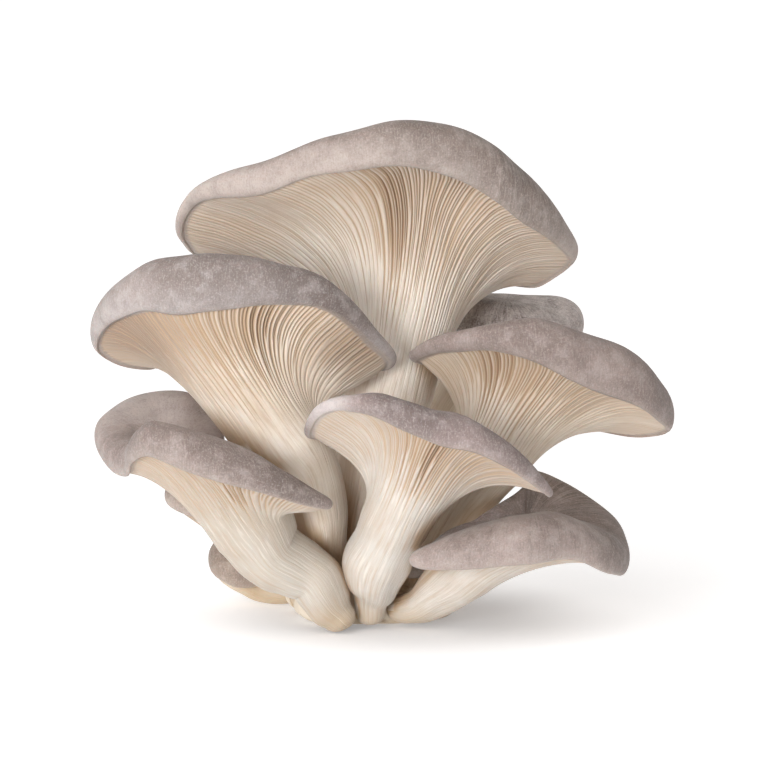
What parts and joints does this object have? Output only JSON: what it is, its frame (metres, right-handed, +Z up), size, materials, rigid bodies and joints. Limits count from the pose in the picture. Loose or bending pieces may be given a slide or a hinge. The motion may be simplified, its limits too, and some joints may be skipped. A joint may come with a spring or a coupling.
{
  "type": "oyster mushroom cluster",
  "caption": "Cluster of oyster mushrooms with wavy fan-shaped caps, gills running down onto curved stems, and one shared foot with a flat cut to stand on.",
  "frame": {"origin": "on the floor, inside the flat cut of the foot and 10 mm in front of the foot's middle", "axes": "+X to the right as the cluster is seen from its front, which is its longest way; +Y to the back; +Z up, away from the flat cut"},
  "size_m": [0.1604, 0.1158, 0.1408],
  "materials": {
    "mushroom_top": "matte",
    "mushroom_upper_left": "matte",
    "mushroom_middle_right": "matte",
    "mushroom_front": "matte",
    "mushroom_lower_left": "matte",
    "mushroom_lower_right": "matte",
    "mushroom_back_right": "matte",
    "mushroom_back_left": "matte",
    "mushroom_small_left": "matte",
    "mushroom_button": "matte",
    "foot": "matte"
  },
  "bodies": {
    "root": {"mushroom_top": "mushroom_top", "mushroom_upper_left": "mushroom_upper_left", "mushroom_middle_right": "mushroom_middle_right", "mushroom_front": "mushroom_front", "mushroom_lower_left": "mushroom_lower_left", "mushroom_lower_right": "mushroom_lower_right", "mushroom_back_right": "mushroom_back_right", "mushroom_back_left": "mushroom_back_left", "mushroom_small_left": "mushroom_small_left", "mushroom_button": "mushroom_button", "foot": "foot"}
  },
  "joints": []
}
